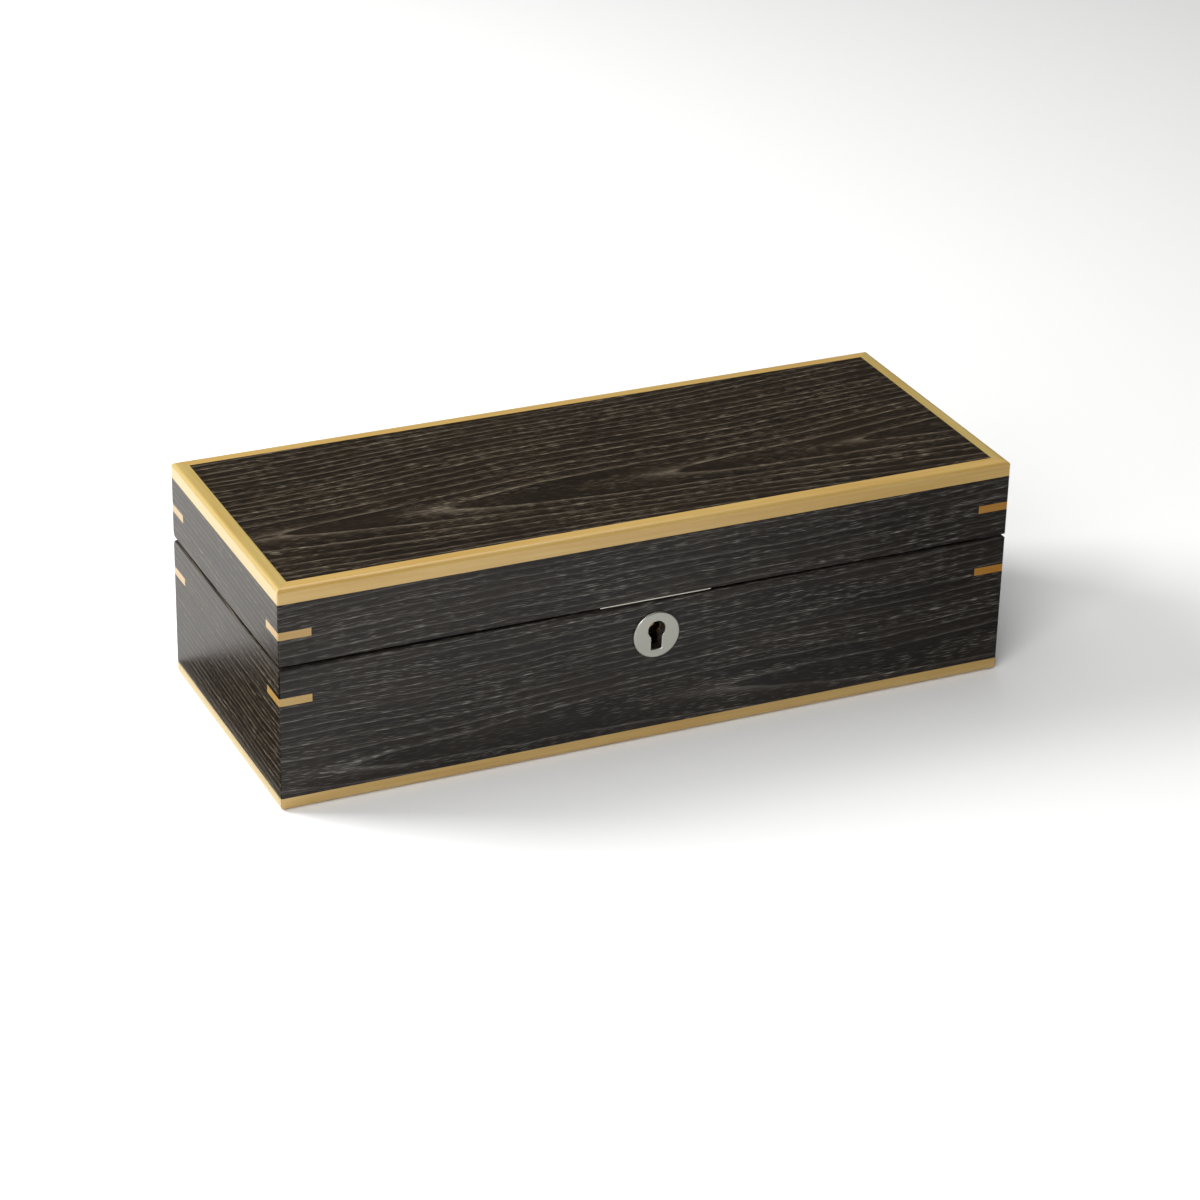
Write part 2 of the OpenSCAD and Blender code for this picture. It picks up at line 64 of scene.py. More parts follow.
def add_node(material, kind, settings=None, links=None):
    """Adds a shader node. settings are its attributes or input values, links what feeds its inputs."""
    tree = material.node_tree
    node = tree.nodes.new(kind)
    for key, value in (settings or {}).items():
        if isinstance(key, str) and hasattr(node, key):
            setattr(node, key, value)
        else:
            node.inputs[key].default_value = value
    for key, source in (links or {}).items():
        tree.links.new(source, node.inputs[key])
    return node


def new_material(name):
    material = bpy.data.materials.new(name)
    material.use_nodes = True
    material.node_tree.nodes.clear()
    return material


def finish_material(material, settings, links):
    """Gives the material its surface shader."""
    shader = add_node(material, "ShaderNodeBsdfPrincipled", settings, links)
    add_node(material, "ShaderNodeOutputMaterial", links={"Surface": shader.outputs[0]})
    return material


def new_piece(name, bm, material, smooth_angle=35):
    """Makes a finished mesh object from a bmesh, smooth but for its sharp arrises."""
    mesh = bpy.data.meshes.new(name)
    bm.to_mesh(mesh)
    bm.free()
    mesh.shade_smooth()
    mesh.set_sharp_from_angle(angle=math.radians(smooth_angle))
    piece = bpy.data.objects.new(name, mesh)
    scene.collection.objects.link(piece)
    mesh.materials.append(material)
    piece.modifiers.new("even_shading", "WEIGHTED_NORMAL").keep_sharp = True
    return piece


WHITE_PAPER = "#F4F4F3"
# the black of the reflection-only cards below, which is painted shade
PAINTED_SHADE_BLACK = "#0A0A0A"
matt_paper = {"Roughness": 0.9, "Specular IOR Level": 0.1}
floor_paper = new_material("white_paper_sweep")
finish_material(floor_paper, {"Base Color": colour(WHITE_PAPER), **matt_paper}, {})
floor_reach = 6.0
floor_bm = bmesh.new()
bmesh.ops.create_grid(floor_bm, x_segments=1, y_segments=1, size=floor_reach)
sweep = new_piece("floor", floor_bm, floor_paper)

room_glow = 0.065
world = bpy.data.worlds.new("studio")
scene.world = world
world.use_nodes = True
background = world.node_tree.nodes["Background"]
background.inputs["Color"].default_value = colour("#FFFFFF")
background.inputs["Strength"].default_value = room_glow


def soft_box(name, place, aim, size, power):
    """A square area light at a place, turned to a point; size in metres, power in watts."""
    light = bpy.data.lights.new(name, "AREA")
    light.shape = "SQUARE"
    light.size = size
    light.energy = power
    lamp = bpy.data.objects.new(name, light)
    lamp.location = place
    lamp.rotation_euler = (Vector(aim) - Vector(place)).to_track_quat("-Z", "Y").to_euler()
    scene.collection.objects.link(lamp)


soft_box("front_light", (-1.05, -1.1, 0.95), (0, 0, 0.05), 0.9, 19)
soft_box("top_light", (-0.1, 0.3, 1.6), (-0.1, 0.2, 0), 1.6, 16)
soft_box("left_light", (-1.3, 0.9, 1.0), (-0.45, 0.35, 0), 0.9, 40)


def ramp_between(material, field, low, high, to_low=0.0, to_high=1.0):
    """The field stretched so that low gives to_low and high gives to_high."""
    return add_node(material, "ShaderNodeMapRange",
                    {"From Min": low, "From Max": high, "To Min": to_low, "To Max": to_high},
                    {0: field}).outputs[0]


def mix_colours(material, share, first, second):
    """first and second are hex codes or sockets; share is how much of second shows."""
    links = {0: share}
    settings = {"data_type": "RGBA"}
    for socket, value in ((6, first), (7, second)):
        if isinstance(value, str):
            settings[socket] = colour(value)
        else:
            links[socket] = value
    return add_node(material, "ShaderNodeMix", settings, links).outputs[2]


def reflected_shade_card(name, low, high, pale_x, dark_x):
    """Painted shade: a card just above the table, out of shot, that only the case's sheen sees; it puts a
    dark patch of table into the case's reflections.
    Its low and high corners are given; it is pale up to pale_x and black from dark_x on."""
    lift = 1 * MM
    centre = (Vector(low) + Vector(high)) / 2
    size = Vector(high) - Vector(low)
    place = Matrix.Translation((*centre, lift)) @ Matrix.Diagonal((*size, 1, 1))
    bm = bmesh.new()
    bmesh.ops.create_grid(bm, x_segments=1, y_segments=1, size=0.5, matrix=place)
    shade_paper = new_material(f"{name}_paper")
    coords = add_node(shade_paper, "ShaderNodeTexCoord")
    axes = add_node(shade_paper, "ShaderNodeSeparateXYZ", links={0: coords.outputs["Object"]})
    shade_fade = ramp_between(shade_paper, axes.outputs["X"], pale_x, dark_x)
    shade_grey = mix_colours(shade_paper, shade_fade, WHITE_PAPER, PAINTED_SHADE_BLACK)
    finish_material(shade_paper, matt_paper, {"Base Color": shade_grey})
    shade_card = new_piece(name, bm, shade_paper)
    shade_card.visible_camera = shade_card.visible_diffuse = shade_card.visible_shadow = False


# Both cards are painted shade, seen only in reflections. The first card lies beyond the end of its fade, so
# it is black all over: it darkens the reflection in the left end's lower front corner. The second fades to
# the right and darkens the reflection in that half of the front.
reflected_shade_card("left_shade_card", (-0.27, -0.115), (-0.16, 0.07), -0.5, -0.4)
reflected_shade_card("front_shade_card", (-0.02, -0.27), (0.34, -0.066), 0.05, 0.2)

camera_turn = math.radians(-24.948)
camera_rise = math.radians(26.616)
camera_roll = math.radians(1.35)
toward_camera = Vector((math.sin(camera_turn) * math.cos(camera_rise),
                        -math.cos(camera_turn) * math.cos(camera_rise), math.sin(camera_rise)))
camera_place = (-0.5668, -1.2278, 0.7104)
sensor_mm = 36
lens_mm = 110.63
camera_data = bpy.data.cameras.new("camera")
camera_data.sensor_width = sensor_mm
camera_data.lens = lens_mm
camera = bpy.data.objects.new("camera", camera_data)
camera.location = camera_place
camera.rotation_mode = "QUATERNION"
camera.rotation_quaternion = ((-toward_camera).to_track_quat("-Z", "Y")
                              @ Quaternion((0, 0, 1), camera_roll))
scene.collection.objects.link(camera)
scene.camera = camera


# ---- Dark oak veneer ----
# Crown-cut oak, 0.6 mm thick, stained near-black with the open pores left greyer, under a thin
# satin lacquer. To the eye: long dark fibres, rows of fine silvery dashes that follow the growth
# rings round pointed flames, and a soft sheen at a low angle.
def oak_veneer(name, along, across, deep, face_mm, heart_mm, tip_mm, seed, pith_mm=14.0, taper=0.05,
               ring_mm=4.3, wander_mm=7, dark="#0D0804", light="#2B2015", pore="#8A7F6C", line_share=0.85,
               dash_share=0.7, dash_spread=0.2, dash_mm=6):
    """along, across and deep name the object axes; face_mm is where the shown face lies on the deep
    axis. The cut runs pith_mm from the log's pith, so that the rings close in pointed flames along
    the line across = heart_mm, one of them with its tip at along = tip_mm."""
    mat = new_material(name)
    coords = add_node(mat, "ShaderNodeTexCoord")
    axes = add_node(mat, "ShaderNodeSeparateXYZ", links={0: coords.outputs["Object"]})

    def maths(operation, a, b=None, c=None):
        node = add_node(mat, "ShaderNodeMath", {"operation": operation})
        for i, value in enumerate((a, b, c)):
            if isinstance(value, (int, float)):
                node.inputs[i].default_value = value
            elif value is not None:
                mat.node_tree.links.new(value, node.inputs[i])
        return node.outputs[0]

    def stretch(field, low, high, to_low=0.0, to_high=1.0):
        return ramp_between(mat, field, low, high, to_low, to_high)

    # the grain wraps over the board's edges, so the third axis counts as across too
    u = maths("MULTIPLY", axes.outputs[along], 1000)
    v = maths("MULTIPLY_ADD", maths("ADD", axes.outputs[across], axes.outputs[deep]), 1000, -face_mm)

    def noise(x_mm, y_mm, cross, detail, offset):
        """Noise whose features are about x_mm long and y_mm wide, in the field (u, cross)."""
        place = add_node(mat, "ShaderNodeCombineXYZ", {2: seed + offset},
                         {0: maths("DIVIDE", u, x_mm), 1: maths("DIVIDE", cross, y_mm)})
        return add_node(mat, "ShaderNodeTexNoise", {"Scale": 1.0, "Detail": detail, "Roughness": 0.55},
                        {"Vector": place.outputs[0]}).outputs["Fac"]

    # slow wander of the fibres, then their fine waves
    wander = stretch(noise(150, 40, v, 0, 0), 0, 1, -wander_mm, wander_mm)
    waves = stretch(noise(24, 9, v, 1, 3), 0, 1, -0.9, 0.9)
    bent = maths("ADD", maths("ADD", v, wander), waves)

    # growth rings: hyperbolas where the flat cut meets the cones of the log
    from_heart = maths("SUBTRACT", bent, heart_mm)
    radius = maths("SQRT", maths("MULTIPLY_ADD", from_heart, from_heart, pith_mm ** 2))
    rings = maths("MULTIPLY_ADD", maths("SUBTRACT", u, tip_mm), -taper, radius)
    uneven = add_node(mat, "ShaderNodeTexNoise",
                      {"noise_dimensions": "1D", "Scale": 1 / (2.2 * ring_mm), "Detail": 1}, {"W": rings})
    count = maths("ADD", maths("DIVIDE", maths("SUBTRACT", rings, pith_mm), ring_mm),
                  stretch(uneven.outputs[0], 0, 1, -0.5, 0.5))
    phase = maths("FRACT", count)

    # each ring starts with a sharp row of open pores and fades into dense, dark late wood
    left = maths("SUBTRACT", 1, phase)
    onset = stretch(phase, 0.0, 0.05)
    line = maths("MULTIPLY", maths("POWER", left, 9), onset)
    line = maths("MULTIPLY", line, stretch(noise(26, 2.5, bent, 2, 9), 0.35, 0.62, 0.2, 1))
    # real pores are 0.2 mm wide; they are drawn 0.4 mm wide so that they show
    dashes = stretch(noise(dash_mm, 0.4, bent, 1, 7), 0.55, 0.68)
    early_wood = maths("MULTIPLY", maths("POWER", left, 2.2), onset)
    dashes = maths("MULTIPLY", dashes, stretch(early_wood, 0, 1, dash_spread, 1))
    dashes = maths("MULTIPLY", dashes, stretch(noise(45, 9, v, 1, 11), 0.36, 0.64, 0.25, 1))
    open_pores = maths("MULTIPLY_ADD", line, line_share, maths("MULTIPLY", dashes, dash_share))
    pores = maths("MINIMUM", open_pores, 1)

    fibres = noise(30, 0.7, bent, 2, 15)
    cloud = stretch(noise(70, 14, v, 1, 19), 0.3, 0.7)
    warm = maths("ADD", maths("MULTIPLY", early_wood, 0.25),
                 maths("MULTIPLY", fibres, maths("MULTIPLY_ADD", cloud, 0.5, 0.3)))
    ground = mix_colours(mat, warm, dark, light)
    wood = mix_colours(mat, pores, ground, pore)
    pore_depth = 0.08 * MM
    height = maths("MULTIPLY_ADD", fibres, 0.35, maths("MULTIPLY", pores, -1))
    bump = add_node(mat, "ShaderNodeBump", {"Strength": 0.5, "Distance": pore_depth}, {"Height": height})
    rough = maths("MULTIPLY_ADD", pores, 0.2, 0.32)
    return finish_material(
        mat, {"IOR": 1.5, "Specular IOR Level": 0.2},
        {"Base Color": wood, "Roughness": rough, "Normal": bump.outputs[0]})


# painted sheen: the front and the back get a greyer, lighter ground and greyer pores than the ends and the
# top, standing for the grey that the pale table puts into these upright faces by reflection
front_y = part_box("base_front_wall")[0].y * 1000
end_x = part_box("base_right_wall")[1].x * 1000
top_face_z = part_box("lid_top_panel")[1].z * 1000
grey_sheen_and_grain = {"dark": "#14110F", "light": "#322C28", "pore": "#8E8B85", "line_share": 0.35, "dash_share": 0.75,
        "dash_spread": 0.3, "dash_mm": 6.5}
oak_front = oak_veneer("oak_veneer_front", "X", "Z", "Y", front_y, 15, -118, 2.0, pith_mm=8, taper=0.024,
                       ring_mm=3.4, wander_mm=4, **grey_sheen_and_grain)
oak_back = oak_veneer("oak_veneer_back", "X", "Z", "Y", -front_y, 30, 60, 31.0, taper=-0.04, **grey_sheen_and_grain)
oak_left = oak_veneer("oak_veneer_left", "Y", "Z", "X", -end_x, -40, 20, 47.0, wander_mm=4, taper=0.03,
                      ring_mm=2.7, line_share=0.8)
oak_right = oak_veneer("oak_veneer_right", "Y", "Z", "X", end_x, 130, -10, 63.0, wander_mm=4, taper=0.03)
oak_top = oak_veneer("oak_veneer_top", "X", "Y", "Z", top_face_z, -19, -152, 81.0, line_share=0.56,
                     dash_share=0.85, dash_spread=0.26)


# ---- Walls of the base ----
# Four boards of fibreboard, veneered, mitred and glued. The joints are sanded flush, so the arrises
# run on round the corners. The rim's outer arris is eased, except over the stop chamfer at the back.
def cad_copy(*names):
    """The triangles of some CAD nodes in one bmesh."""
    bm = bmesh.new()
    for name in names:
        bm.from_mesh(nodes[name].data)
    return bm


def merge_flat(bm):
    """Welds loose triangles and joins those that lie in one plane."""
    bmesh.ops.remove_doubles(bm, verts=bm.verts, dist=0.002 * MM)
    bmesh.ops.dissolve_degenerate(bm, edges=bm.edges, dist=0.001 * MM)
    bmesh.ops.dissolve_limit(bm, angle_limit=math.radians(0.5), verts=bm.verts, edges=bm.edges,
                             use_dissolve_boundaries=False, delimit={"NORMAL"})


half_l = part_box("base_right_wall")[1].x
half_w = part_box("base_back_wall")[1].y
SIDES = ("front", "back", "left", "right")


def on(value, target):
    return abs(value - target) < 0.01 * MM


def drop_mitres(bm):
    """Deletes the faces where mitred boards meet, so that four boards become one ring."""
    doomed = []
    for face in bm.faces:
        n = face.normal
        if abs(abs(n.x) - abs(n.y)) < 0.01 and abs(n.x) > 0.5:
            if all(on(half_l - abs(v.co.x), half_w - abs(v.co.y)) for v in face.verts):
                doomed.append(face)
    bmesh.ops.delete(bm, geom=doomed, context="FACES")


def bevel(bm, edges, radius, segments):
    bmesh.ops.bevel(bm, geom=edges, offset=radius, offset_type="OFFSET", segments=segments,
                    profile=0.5, affect="EDGES", clamp_overlap=True, material=-1)


def round_edges(bm, wanted, radius, segments):
    """Rounds the edges that wanted(a, b) picks by their two end points."""
    bevel(bm, [e for e in bm.edges if wanted(e.verts[0].co, e.verts[1].co)], radius, segments)


def is_corner(a, b):
    """A vertical edge at an outer corner of the case."""
    return not on(a.z, b.z) and all(on(abs(p.x), half_l) and on(abs(p.y), half_w) for p in (a, b))


def is_outer_at(z, back=True):
    """Picks the outer edges of a ring at height z."""
    def wanted(a, b):
        if not (on(a.z, z) and on(b.z, z)):
            return False
        if on(abs(a.x), half_l) and on(a.x, b.x):
            return True
        return on(a.y, b.y) and (on(a.y, -half_w) or (back and on(a.y, half_w)))
    return wanted


def cut_side(ring, side):
    """The part of a ring that lies on one side of the case, cut at the mitres and closed."""
    bm = ring.copy()
    bisect = {"dist": 0.001 * MM, "clear_outer": True}
    sx, sy = {"front": (1, -1), "back": (1, 1), "left": (-1, 1), "right": (1, 1)}[side]
    if side in ("front", "back"):
        bmesh.ops.bisect_plane(bm, geom=bm.verts[:] + bm.edges[:] + bm.faces[:], plane_co=(0, 0, 0),
                               plane_no=(0, -sy, 0), **bisect)
    for other in (-1, 1):
        if side in ("front", "back"):
            corner, normal = Vector((other * half_l, sy * half_w, 0)), Vector((other, -sy, 0))
        else:
            corner, normal = Vector((sx * half_l, other * half_w, 0)), Vector((-sx, other, 0))
        cut = bmesh.ops.bisect_plane(bm, geom=bm.verts[:] + bm.edges[:] + bm.faces[:],
                                     plane_co=corner, plane_no=normal, **bisect)
        rim = [e for e in cut["geom_cut"] if isinstance(e, bmesh.types.BMEdge) and e.is_valid]
        bmesh.ops.triangle_fill(bm, edges=rim, use_beauty=True)
    bmesh.ops.recalc_face_normals(bm, faces=bm.faces)
    return bm


def four_boards(ring, prefix, suffix, body, materials):
    """Cuts a ring into its four boards, one piece for each CAD node."""
    for side in SIDES:
        node = f"{prefix}_{side}{suffix}"
        piece = new_piece(f"{node}_piece", cut_side(ring, side), materials[side])
        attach(piece, body)
        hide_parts(node)
    ring.free()


CORNER_R = 0.5 * MM
RIM_R = 0.75 * MM
oak_boards = {"front": oak_front, "back": oak_back, "left": oak_left, "right": oak_right}
rim_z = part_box("base_front_wall")[1].z
base_ring = cad_copy(*[f"base_{side}_wall" for side in SIDES])
drop_mitres(base_ring)
merge_flat(base_ring)
round_edges(base_ring, is_outer_at(rim_z, back=False), RIM_R, 3)
round_edges(base_ring, is_corner, CORNER_R, 2)
four_boards(base_ring, "base", "_wall", "base", oak_boards)


# ---- Maple edging and corner keys ----
# Hard maple under clear satin lacquer, gone honey-coloured. To the eye: a tight, pale grain with
# faint streaks, browner in the right-hand keys. The edging is mitred round the foot and the top; the
# keys are glued in saw cuts across the corners.
def maple(name, along, pale, deep, blush, seed, blush_share=0.35, right_blush=0.0):
    """along names the axis the grain runs on; the blush grows by right_blush to the right end."""
    mat = new_material(name)
    coords = add_node(mat, "ShaderNodeTexCoord")
    axes = add_node(mat, "ShaderNodeSeparateXYZ", links={0: coords.outputs["Object"]})

    def grain(long_mm, wide_mm, detail, offset):
        """Noise drawn out along the board, its features long_mm long and wide_mm wide."""
        scale = {along: 1000 / long_mm}
        for axis in "XYZ":
            scale.setdefault(axis, 1000 / wide_mm)
        shift = add_node(mat, "ShaderNodeMapping",
                         {"Scale": (scale["X"], scale["Y"], scale["Z"]), "Location": (seed, offset, seed)},
                         {"Vector": coords.outputs["Object"]})
        return add_node(mat, "ShaderNodeTexNoise", {"Scale": 1.0, "Detail": detail, "Roughness": 0.55},
                        {"Vector": shift.outputs[0]}).outputs["Fac"]

    streaks = grain(55, 1.1, 3, 0)
    bands = grain(70, 6, 2, 5)
    tint = mix_colours(mat, streaks, pale, deep)
    patch = ramp_between(mat, bands, 0.48, 0.7, 0.0, blush_share)
    right_end = ramp_between(mat, axes.outputs["X"], -0.1, 0.1, 0.0, right_blush)
    darker = add_node(mat, "ShaderNodeMath", {"operation": "ADD", "use_clamp": True},
                      {0: patch, 1: right_end})
    wood = mix_colours(mat, darker.outputs[0], tint, blush)
    bump = add_node(mat, "ShaderNodeBump", {"Strength": 0.25, "Distance": 0.04 * MM}, {"Height": streaks})
    return finish_material(
        mat, {"Roughness": 0.3, "IOR": 1.5, "Coat Weight": 0.45, "Coat Roughness": 0.22},
        {"Base Color": wood, "Normal": bump.outputs[0]})


maple_long = maple("maple_edging_long", "X", "#C3A766", "#AF8843", "#A87A31", 3.0)
maple_short = maple("maple_edging_short", "Y", "#B8A468", "#A58744", "#9E7933", 17.0)
maple_key = maple("maple_key", "X", "#AD8F50", "#9A7433", "#A06A12", 29.0, 0.4, 0.7)
edging_woods = {"front": maple_long, "back": maple_long, "left": maple_short, "right": maple_short}
EDGING_R = 2.0 * MM


def edging_ring(names, arris_z):
    """Mitred edging with its outer arris at arris_z rounded over."""
    ring = cad_copy(*names)
    drop_mitres(ring)
    merge_flat(ring)
    round_edges(ring, is_outer_at(arris_z), EDGING_R, 5)
    round_edges(ring, is_corner, CORNER_R, 2)
    return ring


foot_ring = edging_ring([f"base_edging_{side}" for side in SIDES], 0.0)
four_boards(foot_ring, "base_edging", "", "base", edging_woods)


def corner_keys(node, body):
    """The four keys of the base or the lid, their outer corner sanded round with the case's."""
    bm = cad_copy(node)
    merge_flat(bm)
    round_edges(bm, is_corner, CORNER_R, 2)
    piece = new_piece(f"{node}_piece", bm, maple_key)
    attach(piece, body)
    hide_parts(node)


corner_keys("base_corner_keys", "base")


# ---- Bottom panel and felt ----
# A bare fibreboard panel is let in between the edging, and black wool felt is glued under it, flush
# with the foot. To the eye: a dull, fuzzy black with short crossed fibres.
def noise_field(material, sizes_mm, detail=2, offset=0.0):
    """Noise whose features are about sizes_mm long, wide and high."""
    coords = add_node(material, "ShaderNodeTexCoord")
    scale = tuple(1 / (size * MM) for size in sizes_mm)
    place = add_node(material, "ShaderNodeMapping", {"Scale": scale, "Location": (offset,) * 3},
                     {"Vector": coords.outputs["Object"]})
    return add_node(material, "ShaderNodeTexNoise", {"Scale": 1.0, "Detail": detail, "Roughness": 0.55},
                    {"Vector": place.outputs[0]}).outputs["Fac"]


fibreboard = new_material("medium_density_fibreboard")
fibreboard_specks = noise_field(fibreboard, (0.7, 0.7, 0.7), 3)
finish_material(fibreboard, {"Roughness": 0.85},
                {"Base Color": mix_colours(fibreboard, fibreboard_specks, "#6B543B", "#9A7F5C")})


def dress_node(name, material):
    """Gives its look to a CAD node that is shown as it is."""
    nodes[name].data.materials.clear()
    nodes[name].data.materials.append(material)


dress_node("base_bottom_panel", fibreboard)

wool_felt = new_material("black_wool_felt")
felt_fibres = ramp_between(wool_felt, noise_field(wool_felt, (2.4, 0.35, 0.5), 2), 0.35, 0.7)
felt_cross = ramp_between(wool_felt, noise_field(wool_felt, (0.35, 2.0, 0.5), 2, 7.0), 0.35, 0.7)
felt_clumps = noise_field(wool_felt, (9, 9, 9), 2, 3.0)
felt_fuzz = add_node(wool_felt, "ShaderNodeMath", {"operation": "MAXIMUM"}, {0: felt_fibres, 1: felt_cross})
felt_black = mix_colours(wool_felt, felt_fuzz.outputs[0], "#151516", "#2E2E30")
felt_bump = add_node(wool_felt, "ShaderNodeBump", {"Strength": 0.7, "Distance": 0.2 * MM},
                     {"Height": felt_fuzz.outputs[0]})
finish_material(wool_felt, {"Roughness": 0.98, "Specular IOR Level": 0.2, "Sheen Weight": 0.25,
                            "Sheen Roughness": 0.6},
                {"Base Color": mix_colours(wool_felt, felt_clumps, felt_black, "#1B1B1C"),
                 "Normal": felt_bump.outputs[0]})


def dressed_copy(node, body, material, radius, level=None, segments=2):
    """A CAD node's shape in place of the node, its sharp edges eased, or only those at one level."""
    bm = cad_copy(node)
    merge_flat(bm)
    sharp = [e for e in bm.edges if len(e.link_faces) == 2 and e.calc_face_angle() > math.radians(40)
             and e.is_convex]
    if level is not None:
        sharp = [e for e in sharp if all(on(v.co.z, level) for v in e.verts)]
    bevel(bm, sharp, radius, segments)
    piece = new_piece(f"{node}_piece", bm, material)
    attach(piece, body)
    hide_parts(node)


dressed_copy("underside_felt", "base", wool_felt, 0.3 * MM, level=0)


# ---- Linings of the base ----
# Thin boards wrapped in black microsuede, glued round the inside and on the floor, with four loose
# dividers between them. To the eye: a soft black whose nap catches the light on every rounded edge.
def microsuede(name, shadow, nap, seed, brushed=0.5):
    mat = new_material(name)
    hairs = noise_field(mat, (0.55, 0.55, 0.55), 2, seed)
    strokes = ramp_between(mat, noise_field(mat, (22, 9, 14), 2, seed + 5), 0.35, 0.7, 0.0, brushed)
    pile = add_node(mat, "ShaderNodeMath", {"operation": "MULTIPLY_ADD", 1: 0.55}, {0: hairs, 2: strokes})
    bump = add_node(mat, "ShaderNodeBump", {"Strength": 0.5, "Distance": 0.12 * MM}, {"Height": hairs})
    return finish_material(
        mat, {"Roughness": 0.95, "Specular IOR Level": 0.2, "Sheen Weight": 0.35, "Sheen Roughness": 0.45,
              "Sheen Tint": colour("#A9A9B0")},
        {"Base Color": mix_colours(mat, pile.outputs[0], shadow, nap), "Normal": bump.outputs[0]})


LINER_R = 1.3 * MM
FLOOR_R = 0.7 * MM
DIVIDER_R = 1.9 * MM
lining_suede = microsuede("black_microsuede", "#17171A", "#303034", 3.0)
for side in SIDES:
    liner = f"liner_{side}"
    dressed_copy(liner, "base", lining_suede, LINER_R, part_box(liner)[1].z, 4)
floor_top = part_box("floor_lining")[1].z
dressed_copy("floor_lining", "base", lining_suede, FLOOR_R, floor_top, 3)
for i in range(1, 5):
    divider = f"divider_{i}"
    dressed_copy(divider, "base", lining_suede, DIVIDER_R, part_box(divider)[1].z, 5)


# ---- Five cushions ----
# A block of foam in charcoal microsuede, sewn from a wrapped panel and two end panels, for a watch
# strap to close round. Each sits loose between its dividers. To the eye: full, soft faces that pull
# in at the two seams.
cushion_suede = microsuede("charcoal_microsuede", "#242427", "#46464B", 41.0, 0.6)
CELL = 3.5 * MM
FOAM_SHARE = 0.95
FOAM_R = 8 * MM
PRESSURE = 4
SEAM_SHRINK = 0.12
FILL_FRAMES = 20
SEAM_IN = 9.0 * MM
SEAM_DEPTH = 0.9 * MM
SEAM_HALF = 1.1 * MM
SWELL_CAP = 1.2 * MM


def evaluated_mesh(piece):
    """The piece's mesh with its modifiers applied."""
    bpy.context.view_layer.update()
    graph = bpy.context.evaluated_depsgraph_get()
    return bpy.data.meshes.new_from_object(piece.evaluated_get(graph), depsgraph=graph)


def stuffed_block(low, high):
    """A sewn cushion that fills the box from low to high, as a bmesh."""
    middle, half = (low + high) / 2, (high - low) / 2
    place = Matrix.Translation(middle) @ Matrix.Diagonal((*(half * FOAM_SHARE), 1))
    bm = bmesh.new()
    bmesh.ops.create_cube(bm, size=2, matrix=place)
    bevel(bm, bm.edges[:], FOAM_R, 4)
    mesh = bpy.data.meshes.new("foam_block")
    bm.to_mesh(mesh)
    bm.free()
    block = bpy.data.objects.new("foam_block", mesh)
    scene.collection.objects.link(block)
    remesh = block.modifiers.new("cells", "REMESH")
    remesh.mode = "VOXEL"
    remesh.voxel_size = CELL
    block.data = evaluated_mesh(block)
    block.modifiers.clear()
    seam_y = half.y - SEAM_IN
    tight = block.vertex_groups.new(name="seams")
    tight.add([v.index for v in block.data.vertices
               if abs(abs(v.co.y - middle.y) - seam_y) < CELL * 0.7], 1.0, "REPLACE")
    cloth = block.modifiers.new("stuffing", "CLOTH").settings
    cloth.use_pressure = True
    cloth.uniform_pressure_force = PRESSURE
    cloth.vertex_group_shrink = "seams"
    cloth.shrink_max = SEAM_SHRINK
    cloth.effector_weights.gravity = 0
    for frame_number in range(1, FILL_FRAMES + 1):
        scene.frame_set(frame_number)
    block.data = evaluated_mesh(block)
    block.modifiers.clear()
    scene.frame_set(1)
    bm = bmesh.new()
    bm.from_mesh(block.data)
    bpy.data.objects.remove(block)
    for v in bm.verts:
        for axis in range(3):
            reach = half[axis] + (SWELL_CAP if axis != 2 else 0)
            v.co[axis] = middle[axis] + max(-reach, min(reach, v.co[axis] - middle[axis]))
    return bm


def sew(bm, plane_y, centre):
    """Pulls a cushion in along the plane at y: three close rings of cuts, the middle one sunk."""
    for shift in (-SEAM_HALF, 0, SEAM_HALF):
        bmesh.ops.bisect_plane(bm, geom=bm.verts[:] + bm.edges[:] + bm.faces[:], dist=0.05 * MM,
                               plane_co=(0, plane_y + shift, 0), plane_no=(0, 1, 0))
    for v in bm.verts:
        if abs(v.co.y - plane_y) < 0.1 * MM:
            inward = Vector((centre.x - v.co.x, 0, centre.z - v.co.z)).normalized()
            v.co += inward * SEAM_DEPTH


first_low, first_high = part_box("cushion_1")
first_middle = (first_low + first_high) / 2
cushion_form = stuffed_block(first_low, first_high)
for sy in (-1, 1):
    sew(cushion_form, sy * ((first_high.y - first_low.y) / 2 - SEAM_IN), first_middle)
for i in range(1, 6):
    node_low, node_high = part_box(f"cushion_{i}")
    shift = (node_low + node_high) / 2 - first_middle
    bm = cushion_form.copy()
    if i % 2 == 0:
        bmesh.ops.rotate(bm, verts=bm.verts, cent=first_middle, matrix=Matrix.Rotation(math.pi, 3, "Z"))
    bmesh.ops.translate(bm, verts=bm.verts, vec=shift)
    cushion = new_piece(f"cushion_{i}_pillow", bm, cushion_suede, 180)
    rounder = cushion.modifiers.new("rounder", "SUBSURF")
    rounder.levels = rounder.render_levels = 1
    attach(cushion, "base")
    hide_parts(f"cushion_{i}")
cushion_form.free()


# ---- Hinges ----
# Pressed steel leaves with rolled knuckles on a steel pin, nickel plated, each leaf held by three
# countersunk slotted screws. To the eye: a warm grey shine with faint rolling marks along the leaf.
def plated(name, pale, deep, rough, seed):
    mat = new_material(name)
    marks = noise_field(mat, (14, 0.25, 0.25), 3, seed)
    blotches = noise_field(mat, (6, 6, 6), 2, seed + 9)
    tint = mix_colours(mat, blotches, pale, deep)
    spread = 0.14
    polish = add_node(mat, "ShaderNodeMath",
                      {"operation": "MULTIPLY_ADD", 1: spread, 2: rough - spread / 2}, {0: marks})
    bump = add_node(mat, "ShaderNodeBump", {"Strength": 0.12, "Distance": 0.01 * MM}, {"Height": marks})
    return finish_material(mat, {"Metallic": 1.0},
                           {"Base Color": tint, "Roughness": polish.outputs[0], "Normal": bump.outputs[0]})


